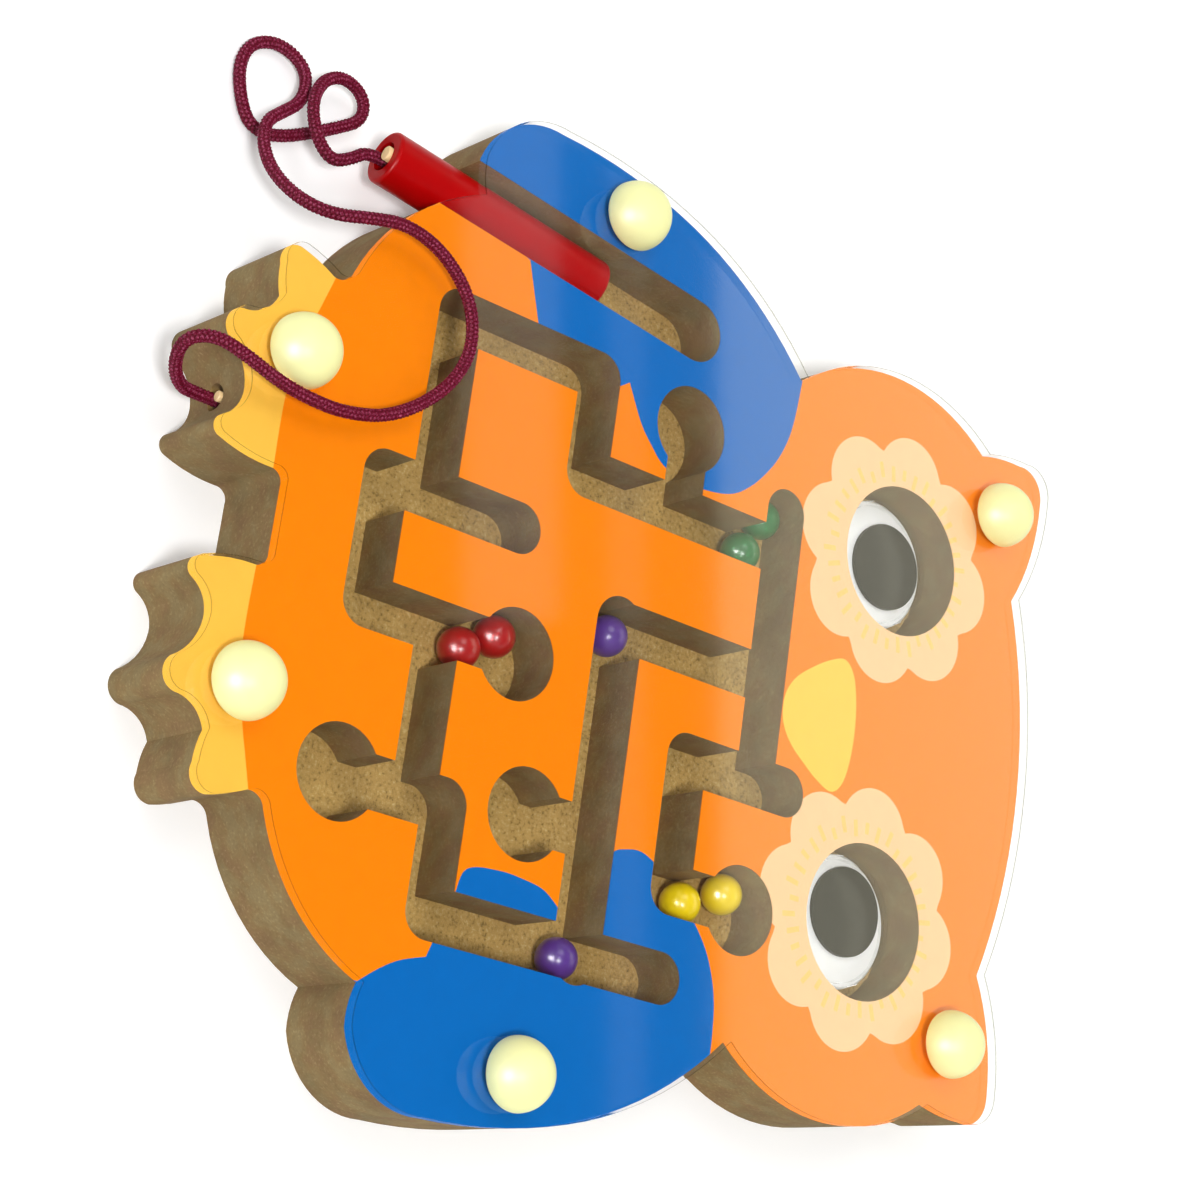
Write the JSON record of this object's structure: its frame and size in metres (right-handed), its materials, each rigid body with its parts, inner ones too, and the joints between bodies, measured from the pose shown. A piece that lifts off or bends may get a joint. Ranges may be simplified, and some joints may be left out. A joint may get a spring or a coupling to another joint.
{
  "type": "magnetic maze board",
  "caption": "Flat owl-shaped ball maze routed in a board under a clear cover, with wobbly eyes and a magnet pen tied on by a cord that pulls coloured steel balls along the channels.",
  "frame": {"origin": "middle of the flat back, under the centre of the board", "axes": "+Z out of the printed face, +Y towards the head, +X towards the side without the pen slot"},
  "size_m": [0.161, 0.1814, 0.0238],
  "materials": {
    "mdf": "routed and cut MDF, bare",
    "print": "printed sheet, orange",
    "clear_acrylic": "clear acrylic sheet, polished",
    "eye_white": "white moulded plastic",
    "clear_dome": "clear moulded plastic",
    "pupil": "dark grey plastic",
    "red_lacquer": "red gloss lacquer on turned wood",
    "magnet": "nickel-plated magnet",
    "peg_wood": "pale wood, bare",
    "cord": "braided polyester cord, maroon",
    "plug_paint": "pale yellow gloss paint on turned wood",
    "ball_green": "green paint on steel",
    "ball_red": "red paint on steel",
    "ball_purple": "purple paint on steel",
    "ball_yellow": "yellow paint on steel"
  },
  "bodies": {
    "board": {"board": "mdf", "face_print": "print", "clear_cover": "clear_acrylic", "plug_ear_a": "plug_paint", "plug_ear_b": "plug_paint", "plug_wing_a": "plug_paint", "plug_wing_b": "plug_paint", "plug_foot_a": "plug_paint", "plug_foot_b": "plug_paint", "eye_back_a": "eye_white", "eye_back_b": "eye_white", "eye_dome_a": "clear_dome", "eye_dome_b": "clear_dome", "board_peg": "peg_wood", "cord": "cord"},
    "pen": {"pen": "red_lacquer", "pen_magnet": "magnet", "pen_peg": "peg_wood"},
    "pupil_a": {"pupil_a": "pupil"},
    "pupil_b": {"pupil_b": "pupil"},
    "ball_green_a": {"ball_green_a": "ball_green"},
    "ball_green_b": {"ball_green_b": "ball_green"},
    "ball_red_a": {"ball_red_a": "ball_red"},
    "ball_red_b": {"ball_red_b": "ball_red"},
    "ball_purple_a": {"ball_purple_a": "ball_purple"},
    "ball_purple_b": {"ball_purple_b": "ball_purple"},
    "ball_yellow_a": {"ball_yellow_a": "ball_yellow"},
    "ball_yellow_b": {"ball_yellow_b": "ball_yellow"}
  },
  "joints": [
    {"name": "pen_slide", "type": "slide", "parent": "board", "child": "pen", "axis": [-0.1246, -0.9922, 0], "range_m": [-0.02183, 0.04], "deforming": ["cord"]},
    {"name": "pupil_a_roll", "type": "hinge", "parent": "board", "child": "pupil_a", "pos_m": [-0.0339, 0.05333, 0.008], "axis": [0, 0, 1], "continuous": true},
    {"name": "pupil_b_roll", "type": "hinge", "parent": "board", "child": "pupil_b", "pos_m": [0.0305, 0.05333, 0.008], "axis": [0, 0, 1], "continuous": true},
    {"name": "ball_green_a_roll", "type": "slide", "parent": "board", "child": "ball_green_a", "axis": [0, -1, 0], "range_m": [0, 0.03999]},
    {"name": "ball_green_b_roll", "type": "slide", "parent": "board", "child": "ball_green_b", "axis": [1, 0, 0], "range_m": [-0.0007, 0.00115]},
    {"name": "ball_red_a_roll", "type": "slide", "parent": "board", "child": "ball_red_a", "axis": [0, -1, 0], "range_m": [0, 0.02315]},
    {"name": "ball_red_b_roll", "type": "hinge", "parent": "board", "child": "ball_red_b", "pos_m": [0.007, -0.02653, 0.00855], "axis": [0, 0, 1], "range_deg": [-187.4, 7.4]},
    {"name": "ball_purple_a_roll", "type": "slide", "parent": "board", "child": "ball_purple_a", "axis": [0, 1, 0], "range_m": [-0.00394, 0.0302]},
    {"name": "ball_purple_b_roll", "type": "slide", "parent": "board", "child": "ball_purple_b", "axis": [0, -1, 0], "range_m": [-0.01658, 0.03076]},
    {"name": "ball_yellow_a_roll", "type": "slide", "parent": "board", "child": "ball_yellow_a", "axis": [0, -1, 0], "range_m": [0, 0.00842]},
    {"name": "ball_yellow_b_roll", "type": "hinge", "parent": "board", "child": "ball_yellow_b", "pos_m": [0.03565, 0.0251, 0.00855], "axis": [0, 0, 1], "range_deg": [-176.1, 42.1]}
  ]
}
